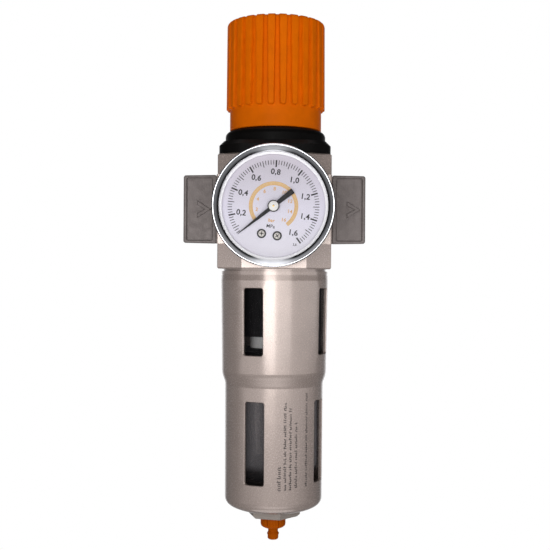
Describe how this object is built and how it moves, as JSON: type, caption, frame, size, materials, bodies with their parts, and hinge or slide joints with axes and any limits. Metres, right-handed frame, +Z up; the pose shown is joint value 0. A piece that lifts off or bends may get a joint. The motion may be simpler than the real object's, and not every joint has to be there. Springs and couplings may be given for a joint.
{
  "type": "air pressure filter-regulator",
  "caption": "Modular in-line air filter-regulator: ribbed adjusting knob, round front gauge, square body between threaded port plates, slotted bowl guard, clear bowl and manual drain.",
  "frame": {"origin": "where the port axis crosses the knob's axis, in the middle of the housing", "axes": "+X along the air flow from inlet to outlet, -Y out of the gauge's face, +Z up the knob's axis"},
  "size_m": [0.087, 0.0871, 0.2594],
  "materials": {
    "body_paint": "satin metallic paint, silver-beige",
    "plate_metal": "sand-cast grey metallic paint",
    "black_plastic": "fine moulded satin",
    "orange_plastic": "fine moulded satin",
    "chrome": "polished",
    "window_glass": "clear",
    "clear_plastic": "clear moulded polycarbonate",
    "dial_paint": "satin white",
    "case_black": "semi-gloss black",
    "pointer_black": "satin black",
    "hub_white": "gloss",
    "brass": "turned",
    "steel": "zinc plated",
    "dark_steel": "black oxide",
    "aluminium": "machined",
    "rubber": "nitrile rubber",
    "gasket_white": "soft white plastic",
    "filter_white": "sintered, porous",
    "nut_grey": "satin grey"
  },
  "bodies": {
    "housing": {"housing": "body_paint", "inlet_plate": "plate_metal", "outlet_plate": "plate_metal", "plate_o_rings": "rubber", "plate_screws": "dark_steel", "bonnet": "black_plastic", "bonnet_screws": "dark_steel", "panel_nut": "black_plastic", "pressure_spring": "steel", "diaphragm": "rubber", "valve_seat": "brass", "valve_guide": "black_plastic", "valve_guide_ring": "rubber", "valve_spring": "steel", "filter_skirt": "black_plastic", "filter_element": "filter_white", "filter_baffle": "black_plastic", "filter_bolt": "brass", "gauge_case": "case_black", "gauge_bezel": "chrome", "gauge_window": "window_glass", "window_gasket": "gasket_white", "gauge_dial": "dial_paint", "dial_screws": "brass", "movement_frame": "brass", "gauge_socket": "brass", "gauge_seal": "rubber", "bourdon_tube": "brass", "rear_plug": "brass", "rear_plug_seal": "rubber"},
    "spindle": {"spindle": "steel", "spindle_washer": "steel", "spindle_clip": "dark_steel", "knob_screw": "steel"},
    "knob": {"knob": "orange_plastic", "knob_cap": "orange_plastic"},
    "spring_plate": {"spring_plate": "aluminium"},
    "diaphragm_stack": {"diaphragm_disc": "aluminium", "relief_seat": "brass"},
    "valve": {"valve_poppet": "brass", "valve_seal": "rubber"},
    "pointer": {"pointer": "pointer_black", "pointer_hub": "hub_white", "pointer_arbor": "brass"},
    "sector": {"sector_gear": "brass", "sector_arbor": "steel"},
    "bowl": {"bowl": "clear_plastic", "bowl_o_ring": "rubber", "drain_nut": "nut_grey"},
    "guard": {"guard": "body_paint"},
    "drain_knob": {"drain_knob": "orange_plastic"},
    "drain_stem": {"drain_stem": "brass", "drain_seal": "rubber"}
  },
  "joints": [
    {"name": "spindle_turn", "type": "hinge", "parent": "housing", "child": "spindle", "pos_m": [0, 0, 0.07], "axis": [0, 0, -1], "range_deg": [0, 2160]},
    {"name": "knob_lift", "type": "slide", "parent": "spindle", "child": "knob", "axis": [0, 0, 1], "range_m": [0, 0.003]},
    {"name": "spring_plate_slide", "type": "slide", "parent": "housing", "child": "spring_plate", "axis": [0, 0, -1], "range_m": [0, 0.0121], "deforming": ["pressure_spring"]},
    {"name": "diaphragm_slide", "type": "slide", "parent": "housing", "child": "diaphragm_stack", "axis": [0, 0, -1], "range_m": [0, 0.0015], "stiffness_N_per_m": 1500, "deforming": ["diaphragm"]},
    {"name": "valve_slide", "type": "slide", "parent": "housing", "child": "valve", "axis": [0, 0, -1], "range_m": [0, 0.0015], "deforming": ["valve_spring"]},
    {"name": "pointer_turn", "type": "hinge", "parent": "housing", "child": "pointer", "pos_m": [0, -0.0508, 0], "axis": [0, 1, 0], "range_deg": [0, 272], "stiffness_Nm_per_rad": 0.001},
    {"name": "sector_turn", "type": "hinge", "parent": "housing", "child": "sector", "pos_m": [-0.00153, -0.0449, -0.01089], "axis": [0, 1, 0], "range_deg": [-46.4, 0]},
    {"name": "bowl_drop", "type": "slide", "parent": "housing", "child": "bowl", "axis": [0, 0, -1], "range_m": [0, 0.016]},
    {"name": "guard_turn", "type": "hinge", "parent": "bowl", "child": "guard", "pos_m": [0, 0, -0.03], "axis": [0, 0, 1], "range_deg": [0, 30]},
    {"name": "drain_turn", "type": "hinge", "parent": "bowl", "child": "drain_knob", "pos_m": [0, 0, -0.155], "axis": [0, 0, -1], "range_deg": [0, 180]},
    {"name": "drain_slide", "type": "slide", "parent": "bowl", "child": "drain_stem", "axis": [0, 0, 1], "range_m": [0, 0.0021]}
  ],
  "couplings": [
    {"joint": "spring_plate_slide", "follows": "spindle_turn", "m_per_rad": 0.00031831},
    {"joint": "valve_slide", "follows": "diaphragm_slide", "ratio": 1},
    {"joint": "sector_turn", "follows": "pointer_turn", "ratio": -0.17021},
    {"joint": "drain_slide", "follows": "drain_turn", "m_per_rad": 0.00063662}
  ]
}
